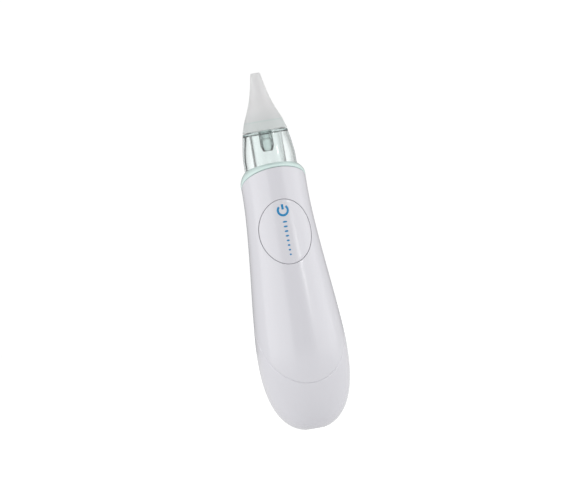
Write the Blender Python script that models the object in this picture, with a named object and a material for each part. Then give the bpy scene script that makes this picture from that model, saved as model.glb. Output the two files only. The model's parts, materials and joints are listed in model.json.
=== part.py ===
"""Electric nasal aspirator: a battery handle with a suction pump, a clear collection cup and a soft tip.

Run with: blender --background --python part.py

The aspirator stands upright on its small flat base, tip upwards along +Z, with its button facing -Y.
The origin is the centre of the base. Sizes here are in millimetres; every mesh is made in metres.
"""

import math

import bmesh
import bpy
from mathutils import Matrix, Vector

MM = 0.001
GAP = 0.3                       # clearance between neighbouring pieces

# Handle, a turned shape: a rounded base, a long taper and a straight neck.
BASE_FLAT_RADIUS = 5.0
BELLY_RADIUS = 22.7
BELLY_Z = 39.0
BASE_ROUNDNESS = 2.45           # exponent of the base's superellipse
NECK_RADIUS = 16.4
NECK_Z = 120.0
NECK_HANDLE_Z = 96.0            # Bezier handles of the taper between belly and neck
BELLY_HANDLE_Z = 56.0
HANDLE_TOP_Z = 136.0
SHELL_WALL = 1.8

# Slanted joints of the handle, as heights on the axis and rise per millimetre of y.
SEAM_Z = 54.0
SEAM_SLOPE = 1.43
COLLAR_LOW_Z = 124.6
COLLAR_LOW_SLOPE = -0.45
COLLAR_TOP_Z = 131.5
COLLAR_TOP_SLOPE = -0.2
COLLAR_RADIUS = 16.5
COLLAR_BORE = 13.5
SLEEVE_RADIUS = 14.3
SLEEVE_Z = 116.5
LIP_TOP_Z = 117.6
LIP_RADIUS = 12.4

# Button.
BUTTON_Z = 99.3
BUTTON_HALF_WIDTH = 13.0
BUTTON_HALF_HEIGHT = 16.2
BUTTON_DEPTH = 3.0
BUTTON_TAB_HALF_WIDTH = 3.5

# Cup and tip.
CUP_RADIUS = 13.2
CUP_BOTTOM_Z = 122.0
CUP_TOP_Z = 150.5
CUP_TOP_RADIUS = 11.3
CUP_WALL = 1.3
CUP_NECK_RADIUS = 8.2
CUP_NECK_WALL = 1.0
CUP_NECK_Z = 155.5
SKIRT_Z = 132.0                  # low edge of the splash skirt
INLET_RADIUS = 3.4
INLET_BORE = 2.2
INLET_Z = 141.0                 # lowest point of the inlet tube's tapered end
INLET_TAPER_Z = 143.6
TIP_Z = 180.0
TIP_RADIUS = 2.0
TIP_CHANNEL = 1.3

# Cup base, deck and suction path.
BASE_FLANGE_Z = 119.9
BASE_PLUG_RADIUS = 11.6
BASE_FLOOR_Z = 125.5
STANDPIPE_RADIUS = 3.2
STANDPIPE_BORE = 2.0
STANDPIPE_Z = 130.0
SPIGOT_Z = 115.2
DECK_Z = 117.9
SOCKET_RADIUS = 4.8
SOCKET_FLOOR_Z = 112.8
BARB_RADIUS = 1.6
BARB_BORE = 0.9
DECK_BARB_Z = 108.6
HOSE_RADIUS = 2.7
HOSE_BORE = 1.9

# Motor and pump, on an axis behind the handle's own.
PUMP_Y = 4.2
MOTOR_RADIUS = 10.0
MOTOR_WALL = 0.8
MOTOR_CAP_Z = 68.0
MOTOR_CAN_Z = 70.3
MOTOR_TOP_Z = 87.3
SHAFT_RADIUS = 1.0
SHAFT_LOW_Z = 66.9
SHAFT_TOP_Z = 90.7
MOTOR_SCREW_X = 5.5
PUMP_RADIUS = 10.4
PUMP_WALL = 1.2
HOUSING_Z = 87.6
HOUSING_TOP_Z = 97.6
DIAPHRAGM_Z = 97.9
VALVE_PLATE_Z = 99.2
HEAD_Z = 100.9
HEAD_TOP_Z = 104.0
EAR_X = 11.6
EAR_RADIUS = 2.0
CHAMBER_RING = 5.6              # distance of the three pump chambers from the pump's axis
CRANK_RADIUS = 3.6
CRANK_Z = 89.4
CRANK_TOP_Z = 93.0
WOBBLE_Z = 94.9                 # centre that the wobble plate tilts about
WOBBLE_TILT = math.radians(6.0)
OUTLET_Y = 9.6

# Circuit board and its frame.
BOARD_Y = -9.6
BOARD_THICKNESS = 1.0
BOARD_HALF_WIDTH = 8.0
BOARD_Z = (84.0, 110.0)
BOARD_SCREWS = ((-6.0, 87.0), (6.0, 107.5))
SWITCH_HALF = 3.0
SPINE_Y = (-8.2, -7.0)
SPINE_Z = (65.1, 110.5)

# Batteries (AA) and their tray.
CELL_RADIUS = 7.25
CELL_LENGTH = 50.5
CELL_X = 7.5
NUB_LENGTH = 1.0
TRAY_Z = 8.0
TRAY_TOP_Z = 64.8
TRAY_PLATE = 1.4
TRAY_FRONT_Y = -9.0
TRAY_BACK_Y = 6.5
CONTACT_THICKNESS = 0.4
LINK_Z = 9.6
CONTACT_Z = 62.6
SPRING_HEIGHT = 1.2
FRAME_SCREW = (15.0, -6.5)
BOSS_RADIUS = 2.6
BOSS_TOP_Z = 77.0
LEAD_HOLE = (10.5, -4.0)
WIRE_RADIUS = 0.5

BODY_SIDES = 40
CUP_SIDES = 24
SMALL_SIDES = 20
TINY_SIDES = 10

# Pieces whose cuts are too small for the EXACT solver, which leaves open edges in them.
FINE_DETAIL = ("main_shell", "power_button", "battery_tray", "diaphragm", "pump_housing", "valve_plate",
               "pump_head")

# Name: colour, roughness, metallic, alpha.
FINISHES = {
    "silicone_frosted": ((0.72, 0.72, 0.73), 0.45, 0.0, 0.85),
    "cup_clear": ((0.80, 0.95, 0.92), 0.05, 0.0, 0.35),
    "cup_base_clear": ((0.80, 0.93, 0.90), 0.1, 0.0, 0.5),
    "seal_rubber": ((0.78, 0.80, 0.80), 0.6, 0.0, 1.0),
    "collar_mint": ((0.66, 0.85, 0.80), 0.3, 0.0, 1.0),
    "shell_white": ((0.75, 0.74, 0.79), 0.25, 0.0, 1.0),
    "inner_plastic": ((0.55, 0.56, 0.58), 0.5, 0.0, 1.0),
    "board_green": ((0.05, 0.25, 0.12), 0.45, 0.0, 1.0),
    "part_black": ((0.02, 0.02, 0.022), 0.4, 0.0, 1.0),
    "steel": ((0.60, 0.61, 0.63), 0.3, 1.0, 1.0),
    "copper": ((0.72, 0.36, 0.18), 0.35, 1.0, 1.0),
    "magnet_grey": ((0.12, 0.12, 0.13), 0.6, 0.0, 1.0),
    "pump_blue": ((0.16, 0.28, 0.42), 0.45, 0.0, 1.0),
    "pump_rubber": ((0.05, 0.05, 0.05), 0.75, 0.0, 1.0),
    "cell_green": ((0.10, 0.35, 0.20), 0.35, 0.2, 1.0),
    "hose_clear": ((0.80, 0.80, 0.78), 0.3, 0.0, 0.6),
    "wire_red": ((0.55, 0.03, 0.03), 0.4, 0.0, 1.0),
    "wire_black": ((0.02, 0.02, 0.02), 0.4, 0.0, 1.0),
    "foam_grey": ((0.30, 0.30, 0.31), 0.95, 0.0, 1.0),
}


def clear_scene():
    for old in list(bpy.data.objects):
        bpy.data.objects.remove(old, do_unlink=True)


def finish(name):
    """The material of that name, made on first use."""
    made = bpy.data.materials.get(name)
    if made:
        return made
    colour, roughness, metallic, alpha = FINISHES[name]
    made = bpy.data.materials.new(name)
    made.use_nodes = True
    shader = made.node_tree.nodes["Principled BSDF"]
    shader.inputs["Base Color"].default_value = (*colour, 1.0)
    shader.inputs["Roughness"].default_value = roughness
    shader.inputs["Metallic"].default_value = metallic
    shader.inputs["Alpha"].default_value = alpha
    return made


# ---------------------------------------------------------------- mesh builders

def add_object(name, mesh_data, material, location=(0, 0, 0)):
    """Turn a bmesh in millimetres into a named object with outward faces."""
    bmesh.ops.recalc_face_normals(mesh_data, faces=mesh_data.faces)
    bmesh.ops.scale(mesh_data, vec=(MM, MM, MM), verts=mesh_data.verts)
    mesh = bpy.data.meshes.new(name)
    mesh_data.to_mesh(mesh)
    mesh_data.free()
    mesh.shade_smooth()
    mesh.set_sharp_from_angle(angle=math.radians(35))
    mesh.materials.append(finish(material))
    made = bpy.data.objects.new(name, mesh)
    made.location = Vector(location) * MM
    bpy.context.collection.objects.link(made)
    return made


def as_cutter(tool):
    tool.hide_render = True
    tool.display_type = "WIRE"
    return tool


def combine(target, tool, operation):
    """Join, cut or intersect target with a hidden tool."""
    step = target.modifiers.new(tool.name, "BOOLEAN")
    step.operation = operation
    step.solver = "MANIFOLD" if target.name in FINE_DETAIL else "EXACT"
    step.object = as_cutter(tool)


def ring_loft(name, sections, material, sides, centre=(0.0, 0.0)):
    """A solid ring through sections, each a function of the angle giving (radius, z).

    Angle 0 faces -Y, and no corner lies on it. The sections run once round the ring's cross-section. One that
    returns radius 0 at every angle becomes a single point on the axis.
    """
    build = bmesh.new()
    rings = []
    for section in sections:
        ring = []
        for index in range(sides):
            angle = 2 * math.pi * (index + 0.5) / sides
            radius, z = section(angle)
            if radius == 0.0 and index:
                ring.append(ring[0])
                continue
            ring.append(build.verts.new((radius * math.sin(angle), -radius * math.cos(angle), z)))
        rings.append(ring)
    for low, high in zip(rings, rings[1:] + rings[:1]):
        for index in range(sides):
            following = (index + 1) % sides
            corners = [low[index], low[following], high[following], high[index]]
            corners = list(dict.fromkeys(corners))
            if len(corners) > 2:
                build.faces.new(corners)
    return add_object(name, build, material, (*centre, 0))


def turned(name, outline, material, sides=SMALL_SIDES, centre=(0.0, 0.0)):
    """A solid of revolution from a closed outline of (radius, z) points."""
    sections = [lambda angle, point=point: point for point in outline]
    return ring_loft(name, sections, material, sides, centre)


def disc(name, radius, low, high, material, sides=SMALL_SIDES, centre=(0.0, 0.0)):
    return turned(name, [(0.0, low), (radius, low), (radius, high), (0.0, high)], material, sides, centre)


def tube(name, bore, radius, low, high, material, sides=SMALL_SIDES, centre=(0.0, 0.0)):
    outline = [(bore, low), (radius, low), (radius, high), (bore, high)]
    return turned(name, outline, material, sides, centre)


def seal_ring(name, ring_radius, section_radius, z, material):
    count = 6
    outline = []
    for index in range(count):
        angle = 2 * math.pi * index / count
        outline.append((ring_radius + section_radius * math.cos(angle), z + section_radius * math.sin(angle)))
    return turned(name, outline, material)


def extruded(name, outline, low, high, axis, material):
    """A flat outline pushed along an axis. Outlines are (y, z) for x, (x, z) for y and (x, y) for z."""
    build = bmesh.new()
    ends = []
    for level in (low, high):
        if axis == "x":
            ends.append([build.verts.new((level, a, b)) for a, b in outline])
        elif axis == "y":
            ends.append([build.verts.new((a, level, b)) for a, b in outline])
        else:
            ends.append([build.verts.new((a, b, level)) for a, b in outline])
    near, far = ends
    build.faces.new(near)
    build.faces.new(far)
    for index in range(len(outline)):
        following = (index + 1) % len(outline)
        build.faces.new((near[index], near[following], far[following], far[index]))
    return add_object(name, build, material)


def block(name, low, high, material):
    outline = [(low[0], low[1]), (high[0], low[1]), (high[0], high[1]), (low[0], high[1])]
    return extruded(name, outline, low[2], high[2], "z", material)


def rod_y(name, x, z, radius, low, high, material, sides=TINY_SIDES):
    """A round rod along Y."""
    outline = []
    for index in range(sides):
        angle = 2 * math.pi * index / sides
        outline.append((x + radius * math.cos(angle), z + radius * math.sin(angle)))
    return extruded(name, outline, low, high, "y", material)


def smooth_points(guide, step):
    """Points along a Catmull-Rom curve through the guide points."""
    ends = [2 * guide[0] - guide[1]] + guide + [2 * guide[-1] - guide[-2]]
    points = []
    for before, start, stop, after in zip(ends, ends[1:], ends[2:], ends[3:]):
        count = max(2, round((stop - start).length / step))
        for index in range(count):
            t = index / count
            points.append(0.5 * (2 * start + (stop - before) * t
                                 + (2 * before - 5 * start + 4 * stop - after) * t ** 2
                                 + (3 * start - before - 3 * stop + after) * t ** 3))
    return points + [guide[-1]]


def bent_tube(name, points, radius, material, resolution=1):
    """A round wire along a list of points in millimetres."""
    curve = bpy.data.curves.new(name, "CURVE")
    curve.dimensions = "3D"
    curve.bevel_depth = radius * MM
    curve.bevel_resolution = resolution
    curve.use_fill_caps = True
    spline = curve.splines.new("POLY")
    spline.points.add(len(points) - 1)
    for target, point in zip(spline.points, points):
        target.co = (*(point * MM), 1.0)
    curve.materials.append(finish(material))
    made = bpy.data.objects.new(name, curve)
    bpy.context.collection.objects.link(made)
    return made


# ---------------------------------------------------------------- shape of the handle

def body_point(position):
    """(radius, z) on the handle's outside: 0 to 1 climbs the base, 1 to 2 the taper, 2 to 3 the neck."""
    if position <= 1.0:
        flat_share = (BASE_FLAT_RADIUS / BELLY_RADIUS) ** BASE_ROUNDNESS
        base_height = BELLY_Z / (1 - flat_share) ** (1 / BASE_ROUNDNESS)
        flat_cosine = math.sqrt(flat_share)
        angle = math.acos(flat_cosine) * (1 - position)
        radius = BELLY_RADIUS * math.cos(angle) ** (2 / BASE_ROUNDNESS)
        return radius, BELLY_Z - base_height * math.sin(angle) ** (2 / BASE_ROUNDNESS)
    if position <= 2.0:
        t = position - 1.0
        spread = 3 * (1 - t) ** 2 * t
        late = 3 * (1 - t) * t ** 2
        radius = BELLY_RADIUS * ((1 - t) ** 3 + spread) + NECK_RADIUS * (late + t ** 3)
        z = BELLY_Z * (1 - t) ** 3 + BELLY_HANDLE_Z * spread + NECK_HANDLE_Z * late + NECK_Z * t ** 3
        return radius, z
    return NECK_RADIUS, NECK_Z + (HANDLE_TOP_Z - NECK_Z) * (position - 2.0)


def inset_point(position, depth):
    """The same point moved straight into the wall by depth."""
    step = 0.001
    before = body_point(max(position - step, 0.0))
    after = body_point(min(position + step, 3.0))
    along = Vector((after[0] - before[0], after[1] - before[1])).normalized()
    radius, z = body_point(position)
    return radius - along.y * depth, z + along.x * depth


def position_at(z):
    """Where the handle's outside reaches height z."""
    low, high = 0.0, 3.0
    for _ in range(40):
        middle = (low + high) / 2
        if body_point(middle)[1] < z:
            low = middle
        else:
            high = middle
    return (low + high) / 2


def body_radius(z):
    return body_point(position_at(z))[0]


def climb(low_z, high_z, count, depth=0.0):
    """Points up the handle's outside, or inside it at a depth, between two heights."""
    low, high = position_at(low_z), position_at(high_z)
    return [inset_point(low + (high - low) * index / (count - 1), depth) for index in range(count)]


def seam_side(name, shift, above):
    """Everything above or below the battery cover's slanted seam."""
    reach = 60.0
    clearance = shift * math.hypot(1.0, SEAM_SLOPE)
    front = SEAM_Z - SEAM_SLOPE * reach + clearance
    back = SEAM_Z + SEAM_SLOPE * reach + clearance
    limit = 300.0 if above else -300.0
    outline = [(-reach, front), (reach, back), (reach, limit), (-reach, limit)]
    return extruded(name, outline, -reach, reach, "x", "shell_white")


def button_outline(half_width, half_height):
    outline = []
    for index in range(BODY_SIDES):
        angle = 2 * math.pi * index / BODY_SIDES
        outline.append((half_width * math.cos(angle), BUTTON_Z + half_height * math.sin(angle)))
    return outline


# ---------------------------------------------------------------- handle

def make_main_shell():
    outside = climb(16.0, NECK_Z, 10) + [(NECK_RADIUS, HANDLE_TOP_Z)]
    inside = climb(16.0, NECK_Z, 10, SHELL_WALL) + [(NECK_RADIUS - SHELL_WALL, HANDLE_TOP_Z)]
    shell = turned("main_shell", outside + inside[::-1], "shell_white", BODY_SIDES)
    for side in (-1, 1):
        boss = disc(f"boss_{side}", BOSS_RADIUS, TRAY_TOP_Z + GAP, BOSS_TOP_Z, "shell_white", TINY_SIDES,
                    (side * FRAME_SCREW[0], FRAME_SCREW[1]))
        combine(shell, boss, "UNION")
        hole = disc(f"boss_hole_{side}", 1.4, TRAY_TOP_Z - 1, BOSS_TOP_Z - 3.5, "shell_white", TINY_SIDES,
                    (side * FRAME_SCREW[0], FRAME_SCREW[1]))
        combine(shell, hole, "DIFFERENCE")
    combine(shell, seam_side("below_seam", GAP / 2, above=False), "DIFFERENCE")
    reach = 40.0
    rise = COLLAR_LOW_SLOPE * reach
    above_collar = [(-reach, COLLAR_LOW_Z - GAP - rise), (reach, COLLAR_LOW_Z - GAP + rise), (reach, 200.0),
                    (-reach, 200.0)]
    combine(shell, extruded("above_collar", above_collar, -reach, reach, "x", "shell_white"), "DIFFERENCE")
    opening = button_outline(BUTTON_HALF_WIDTH + GAP, BUTTON_HALF_HEIGHT + GAP)
    combine(shell, extruded("button_opening", opening, -40.0, -2.0, "y", "shell_white"), "DIFFERENCE")
    for index in range(3):
        z = 101.0 + 3.0 * index
        slot = block(f"vent_{index}", (-4.5, 10.0, z), (4.5, 25.0, z + 1.2), "shell_white")
        combine(shell, slot, "DIFFERENCE")


def make_battery_cover():
    outside = [(0.0, 0.0)] + climb(0.0, BELLY_Z, 9) + climb(BELLY_Z, 90.0, 6)[1:]
    inside = climb(0.0, BELLY_Z, 9, SHELL_WALL) + climb(BELLY_Z, 90.0, 6, SHELL_WALL)[1:]
    floor = inside[0][1]
    cover = turned("battery_cover", outside + inside[::-1] + [(0.0, floor)], "shell_white", BODY_SIDES)
    combine(cover, seam_side("above_seam", -GAP / 2, above=True), "DIFFERENCE")


def collar_low(radius, angle):
    return COLLAR_LOW_Z - COLLAR_LOW_SLOPE * radius * math.cos(angle)


def collar_top(radius, angle):
    return COLLAR_TOP_Z - COLLAR_TOP_SLOPE * radius * math.cos(angle)


def make_collar():
    """The mint ring: a rounded shoulder between two slanted edges, on a sleeve inside the handle."""
    def shoulder(radius, share):
        def section(angle):
            low = collar_low(COLLAR_RADIUS, angle)
            return radius, low + share * (collar_top(COLLAR_BORE, angle) - low)
        return section

    def level(radius, z):
        return lambda angle: (radius, z)

    sections = [lambda angle: (SLEEVE_RADIUS, collar_low(SLEEVE_RADIUS, angle)),
                shoulder(COLLAR_RADIUS, 0.0), shoulder(COLLAR_RADIUS + 0.1, 0.2), shoulder(15.6, 0.5),
                shoulder(14.6, 0.76), shoulder(COLLAR_BORE + 0.3, 0.94), shoulder(COLLAR_BORE, 1.0),
                level(COLLAR_BORE, LIP_TOP_Z), level(LIP_RADIUS, LIP_TOP_Z), level(LIP_RADIUS, SLEEVE_Z),
                level(SLEEVE_RADIUS, SLEEVE_Z)]
    ring_loft("collar_ring", sections, "collar_mint", BODY_SIDES)


def make_button():
    """An oval cut from the handle's own surface, pressed along Y, with a boss and two holding tabs."""
    def front(x, z):
        return -math.sqrt(body_radius(z) ** 2 - x ** 2)

    build = bmesh.new()
    rings = []
    for share, depth in ((0.35, 0), (0.7, 0), (1.0, 0), (1.0, BUTTON_DEPTH), (0.7, BUTTON_DEPTH),
                         (0.35, BUTTON_DEPTH)):
        outline = button_outline(BUTTON_HALF_WIDTH * share, BUTTON_HALF_HEIGHT * share)
        rings.append([build.verts.new((x, front(x, z) + depth, z)) for x, z in outline[::2]])
    middle_y = front(0.0, BUTTON_Z)
    outer_middle = build.verts.new((0.0, middle_y, BUTTON_Z))
    inner_middle = build.verts.new((0.0, middle_y + BUTTON_DEPTH, BUTTON_Z))
    count = len(rings[0])
    for index in range(count):
        following = (index + 1) % count
        for near, far in zip(rings, rings[1:]):
            build.faces.new((near[index], near[following], far[following], far[index]))
        build.faces.new((outer_middle, rings[0][index], rings[0][following]))
        build.faces.new((inner_middle, rings[-1][index], rings[-1][following]))
    button = add_object("power_button", build, "shell_white")
    boss = rod_y("button_boss", 0.0, BUTTON_Z, 2.0, middle_y + BUTTON_DEPTH - 1, BOARD_Y - 3.3, "shell_white")
    combine(button, boss, "UNION")
    for name, low, high in (("button_tab_upper", (-13.85, 113.4), (-12.9, 116.2)),
                            ("button_tab_lower", (-16.4, 82.2), (-15.3, 85.2))):
        tab = block(name, (-BUTTON_TAB_HALF_WIDTH, low[0], low[1]), (BUTTON_TAB_HALF_WIDTH, high[0], high[1]),
                    "shell_white")
        combine(button, tab, "UNION")


# ---------------------------------------------------------------- tip and cup

def make_tip():
    low = CUP_TOP_Z + GAP
    outside = [(11.4, low), (10.9, 152.0), (10.5, 153.2), (9.65, 156.0), (8.35, 159.0), (7.1, 162.0),
               (6.0, 165.0), (4.95, 168.0), (4.25, 171.0), (3.55, 174.0), (2.95, 177.0), (2.6, 179.2),
               (TIP_RADIUS, TIP_Z)]
    inside = [(TIP_CHANNEL, TIP_Z), (TIP_CHANNEL, 169.0), (4.3, 162.5), (7.0, CUP_NECK_Z + 1.2),
              (CUP_NECK_RADIUS + GAP, CUP_NECK_Z + GAP), (CUP_NECK_RADIUS + GAP, low)]
    turned("nozzle_tip", outside + inside, "silicone_frosted", CUP_SIDES)


def make_cup():
    """Outer wall, top, neck, hanging inlet tube with a tapered end, and splash skirt; open at the bottom."""
    bore = CUP_RADIUS - CUP_WALL
    neck_bore = CUP_NECK_RADIUS - CUP_NECK_WALL
    plate = 1.2
    outline = [(CUP_RADIUS, CUP_BOTTOM_Z), (CUP_RADIUS, 137.0), (12.75, 141.0), (12.25, 144.3),
               (11.75, 147.5), (CUP_TOP_RADIUS, CUP_TOP_Z), (CUP_NECK_RADIUS, CUP_TOP_Z),
               (CUP_NECK_RADIUS, CUP_NECK_Z),
               (INLET_BORE, CUP_NECK_Z), (INLET_BORE, INLET_Z), (INLET_BORE + 0.3, INLET_Z),
               (INLET_RADIUS, INLET_TAPER_Z), (INLET_RADIUS, CUP_NECK_Z - plate),
               (neck_bore, CUP_NECK_Z - plate), (neck_bore, SKIRT_Z),
               (CUP_NECK_RADIUS, SKIRT_Z), (CUP_NECK_RADIUS, CUP_TOP_Z - plate), (10.2, CUP_TOP_Z - plate),
               (10.5, 147.4), (10.95, 144.2), (11.45, 141.0), (bore, 137.0), (bore, CUP_BOTTOM_Z)]
    turned("collection_cup", outline, "cup_clear", CUP_SIDES)


def make_cup_base():
    flange_top = CUP_BOTTOM_Z - GAP
    groove = BASE_PLUG_RADIUS - 1.3
    outline = [(STANDPIPE_BORE, SPIGOT_Z), (STANDPIPE_RADIUS, SPIGOT_Z), (STANDPIPE_RADIUS, BASE_FLANGE_Z),
               (CUP_RADIUS, BASE_FLANGE_Z), (CUP_RADIUS, flange_top), (BASE_PLUG_RADIUS, flange_top),
               (BASE_PLUG_RADIUS, 122.8), (groove, 122.8), (groove, 124.4), (BASE_PLUG_RADIUS, 124.4),
               (BASE_PLUG_RADIUS, BASE_FLOOR_Z), (STANDPIPE_RADIUS, BASE_FLOOR_Z - 0.6),
               (STANDPIPE_RADIUS, STANDPIPE_Z), (STANDPIPE_BORE, STANDPIPE_Z)]
    turned("cup_base", outline, "cup_base_clear", CUP_SIDES)
    seal_ring("cup_seal", groove + GAP + 0.5, 0.5, 123.6, "seal_rubber")


def make_splash_baffle():
    """A cap over the standpipe that keeps drips out, on a cross-shaped stem."""
    low = STANDPIPE_Z + 1.6
    outline = [(0.0, low), (4.6, low), (5.2, low + 0.3), (3.5, low + 1.1), (0.0, low + 1.4)]
    baffle = turned("splash_baffle", outline, "cup_base_clear")
    for index in range(2):
        reach = (1.6, 0.45) if index else (0.45, 1.6)
        blade = block(f"baffle_blade_{index}", (-reach[0], -reach[1], STANDPIPE_Z - 4), (*reach, low + 0.5),
                      "cup_base_clear")
        combine(baffle, blade, "UNION")


def make_deck():
    """The floor of the cup's seat, with a socket for the cup base and a barb for the suction hose."""
    bore = STANDPIPE_RADIUS + GAP
    seal_bore = bore + 1.9
    top = BASE_FLANGE_Z - GAP
    recess = top - 1.5
    floor_top = SOCKET_FLOOR_Z + 1.2
    outline = [(BARB_BORE, DECK_BARB_Z), (BARB_RADIUS, DECK_BARB_Z), (BARB_RADIUS, SOCKET_FLOOR_Z),
               (SOCKET_RADIUS, SOCKET_FLOOR_Z), (SOCKET_RADIUS + 1.6, DECK_Z - 1.2),
               (SOCKET_RADIUS + 1.6, DECK_Z), (COLLAR_BORE - GAP, DECK_Z), (COLLAR_BORE - GAP, top),
               (seal_bore, top), (seal_bore, recess),
               (bore, recess), (bore, floor_top), (BARB_BORE, floor_top)]
    turned("top_deck", outline, "inner_plastic", CUP_SIDES)
    seal_ring("port_seal", bore + 0.7, 0.5, recess + GAP + 0.5, "seal_rubber")


# ---------------------------------------------------------------- motor and pump

PUMP_CENTRE = (0.0, PUMP_Y)


def lobed(name, low, high, bore, narrow, wide, spread, material, centre):
    """A three-lobed plate: wide within spread of each lobe's middle, narrow between the lobes."""
    def radius(angle):
        away = abs((angle + math.pi / 3) % (2 * math.pi / 3) - math.pi / 3)
        return wide if away < spread else narrow

    sections = [lambda angle: (bore, low), lambda angle: (radius(angle), low),
                lambda angle: (radius(angle), high), lambda angle: (bore, high)]
    return ring_loft(name, sections, material, SMALL_SIDES, centre)


def make_motor():
    bore = MOTOR_RADIUS - MOTOR_WALL
    can_outline = [(bore, MOTOR_CAN_Z), (MOTOR_RADIUS, MOTOR_CAN_Z), (MOTOR_RADIUS, MOTOR_TOP_Z),
                   (1.4, MOTOR_TOP_Z), (1.4, MOTOR_TOP_Z - MOTOR_WALL), (bore, MOTOR_TOP_Z - MOTOR_WALL)]
    can = turned("motor_can", can_outline, "steel", CUP_SIDES, PUMP_CENTRE)
    for side in (-1, 1):
        hole = disc(f"can_hole_{side}", 1.1, MOTOR_TOP_Z - 2, MOTOR_TOP_Z + 1, "steel", TINY_SIDES,
                    (side * MOTOR_SCREW_X, PUMP_Y))
        combine(can, hole, "DIFFERENCE")
    cap_outline = [(1.3, MOTOR_CAP_Z - 0.8), (3.0, MOTOR_CAP_Z - 0.8), (3.0, MOTOR_CAP_Z),
                   (MOTOR_RADIUS, MOTOR_CAP_Z), (MOTOR_RADIUS, MOTOR_CAP_Z + 2), (1.3, MOTOR_CAP_Z + 2)]
    turned("motor_end_cap", cap_outline, "part_black", SMALL_SIDES, PUMP_CENTRE)
    disc("motor_shaft", SHAFT_RADIUS, SHAFT_LOW_Z, SHAFT_TOP_Z, "steel", TINY_SIDES, PUMP_CENTRE)
    lobed("motor_armature", 72.0, 83.0, SHAFT_RADIUS + GAP, 3.2, 6.0, math.radians(46), "copper", PUMP_CENTRE)
    for side, name in ((-1, "motor_magnet_left"), (1, "motor_magnet_right")):
        outline = []
        for radius, turn in ((7.0, 1), (8.8, -1)):
            for index in range(7):
                angle = turn * math.radians(-54 + 18 * index)
                outline.append((side * radius * math.cos(angle), PUMP_Y + radius * math.sin(angle)))
        extruded(name, outline, 73.0, 83.0, "z", "magnet_grey")
    for side, name in ((-1, "motor_terminal_left"), (1, "motor_terminal_right")):
        x = side * 6.5
        block(name, (x - 0.3, 3.4, 66.3), (x + 0.3, 5.2, 67.7), "copper")


def add_ears(part, low, high, material):
    """Two screw ears, with holes, on a layer of the pump."""
    for side in (-1, 1):
        place = (side * EAR_X, PUMP_Y)
        ear = disc(f"{part.name}_ear_{side}", EAR_RADIUS, low + 0.1, high - 0.1, material, TINY_SIDES, place)
        combine(part, ear, "UNION")
        hole = disc(f"{part.name}_ear_hole_{side}", 0.9, low - 1, high + 1, material, TINY_SIDES, place)
        combine(part, hole, "DIFFERENCE")


def chamber_points():
    points = []
    for index in range(3):
        angle = 2 * math.pi * index / 3
        points.append((CHAMBER_RING * math.sin(angle), PUMP_Y - CHAMBER_RING * math.cos(angle)))
    return points


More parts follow.
